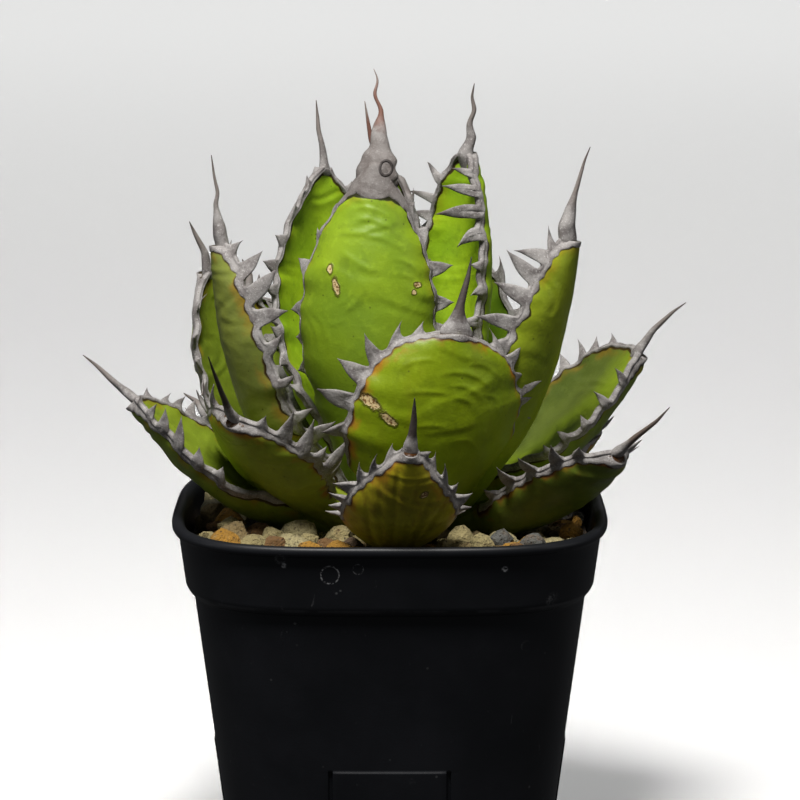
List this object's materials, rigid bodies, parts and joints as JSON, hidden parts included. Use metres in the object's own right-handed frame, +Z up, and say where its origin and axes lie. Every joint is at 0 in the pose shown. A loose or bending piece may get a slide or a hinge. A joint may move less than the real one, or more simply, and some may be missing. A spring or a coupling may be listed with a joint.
{
  "type": "potted agave",
  "caption": "Small agave rosette of thick cupped leaves with grey toothed margins and long end spines, in a square black nursery pot dressed with gravel.",
  "frame": {"origin": "middle of the flat underside of the pot", "axes": "+Z up; the front of the pot, with the short low leaf, faces -Y; +X to the right seen from the front"},
  "size_m": [0.1465, 0.1361, 0.1974],
  "materials": {
    "pot": "matte black plastic with a faint sheen",
    "soil": "dark crumbly potting mix",
    "gravel": "rough matte grains, cream, orange, brown and grey",
    "stem": "dull woody stem",
    "leaf": "satin yellow-green leaf skin",
    "margin": "matte warm grey horn, brown towards the tips"
  },
  "bodies": {
    "root": {"pot": "pot", "soil": "soil", "gravel": "gravel", "stem": "stem", "leaf_01": "leaf", "leaf_02": "leaf", "leaf_03": "leaf", "leaf_04": "leaf", "leaf_05": "leaf", "leaf_06": "leaf", "leaf_07": "leaf", "leaf_08": "leaf", "leaf_09": "leaf", "leaf_10": "leaf", "leaf_11": "leaf", "leaf_12": "leaf", "leaf_13": "leaf", "leaf_14": "leaf", "leaf_15": "leaf", "leaf_16": "leaf", "leaf_17": "leaf", "leaf_18": "leaf", "leaf_19": "leaf", "leaf_20": "leaf", "leaf_21": "leaf", "leaf_01_margin": "margin", "leaf_02_margin": "margin", "leaf_03_margin": "margin", "leaf_04_margin": "margin", "leaf_05_margin": "margin", "leaf_06_margin": "margin", "leaf_07_margin": "margin", "leaf_08_margin": "margin", "leaf_09_margin": "margin", "leaf_10_margin": "margin", "leaf_11_margin": "margin", "leaf_12_margin": "margin", "leaf_13_margin": "margin", "leaf_14_margin": "margin", "leaf_15_margin": "margin", "leaf_16_margin": "margin", "leaf_17_margin": "margin", "leaf_18_margin": "margin", "leaf_19_margin": "margin", "leaf_20_margin": "margin", "leaf_21_margin": "margin"}
  },
  "joints": []
}
